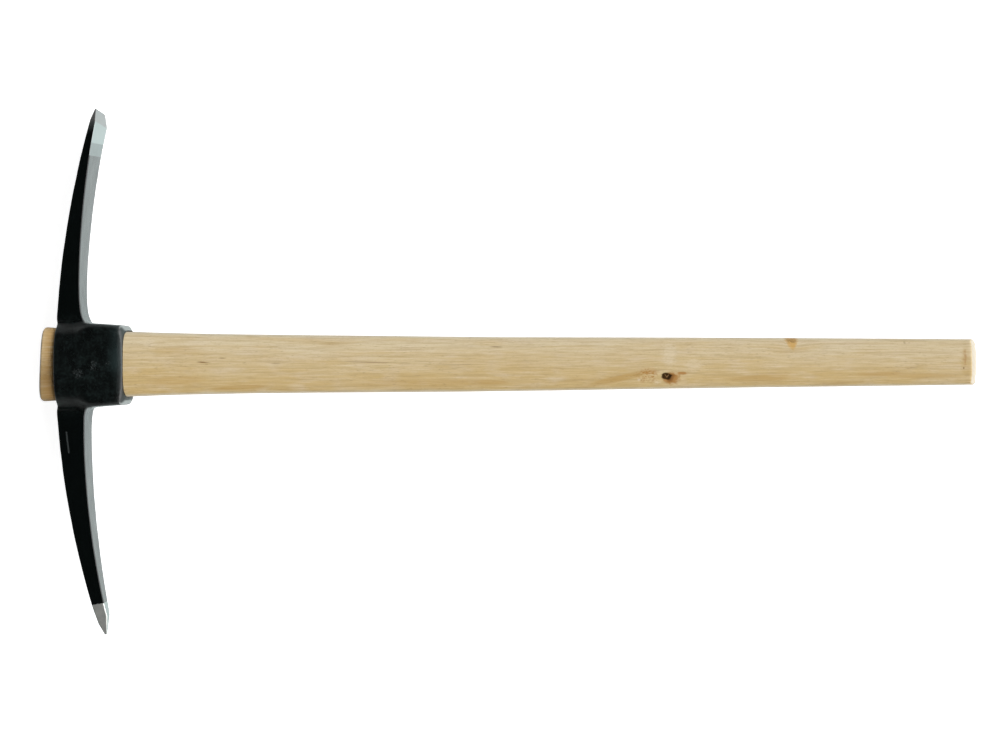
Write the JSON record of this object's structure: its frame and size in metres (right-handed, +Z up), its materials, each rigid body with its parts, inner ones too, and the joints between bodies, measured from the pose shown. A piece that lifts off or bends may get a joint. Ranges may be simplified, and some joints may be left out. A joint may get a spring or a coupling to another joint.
{
  "type": "pick axe",
  "caption": "Pick with a curved forged steel head that runs from a chisel edge to a point, on a tapered oval wooden handle.",
  "frame": {"origin": "on the surface that the tool lies on, under the middle of its box", "axes": "+X along the handle towards the butt, +Y towards the chisel's edge, +Z up, square to the plane of the head and handle"},
  "size_m": [0.9, 0.5074, 0.054],
  "materials": {
    "handle_wood": "bare sanded pale hardwood with fine straight grain and small knots",
    "head_paint": "semi-gloss black paint over forged steel, with both cutting ends ground bright"
  },
  "bodies": {
    "handle": {"handle": "handle_wood"},
    "head": {"head": "head_paint"}
  },
  "joints": [
    {"name": "head_slide", "type": "slide", "parent": "handle", "child": "head", "axis": [1, 0, 0], "range_m": [0, 0.9]}
  ]
}
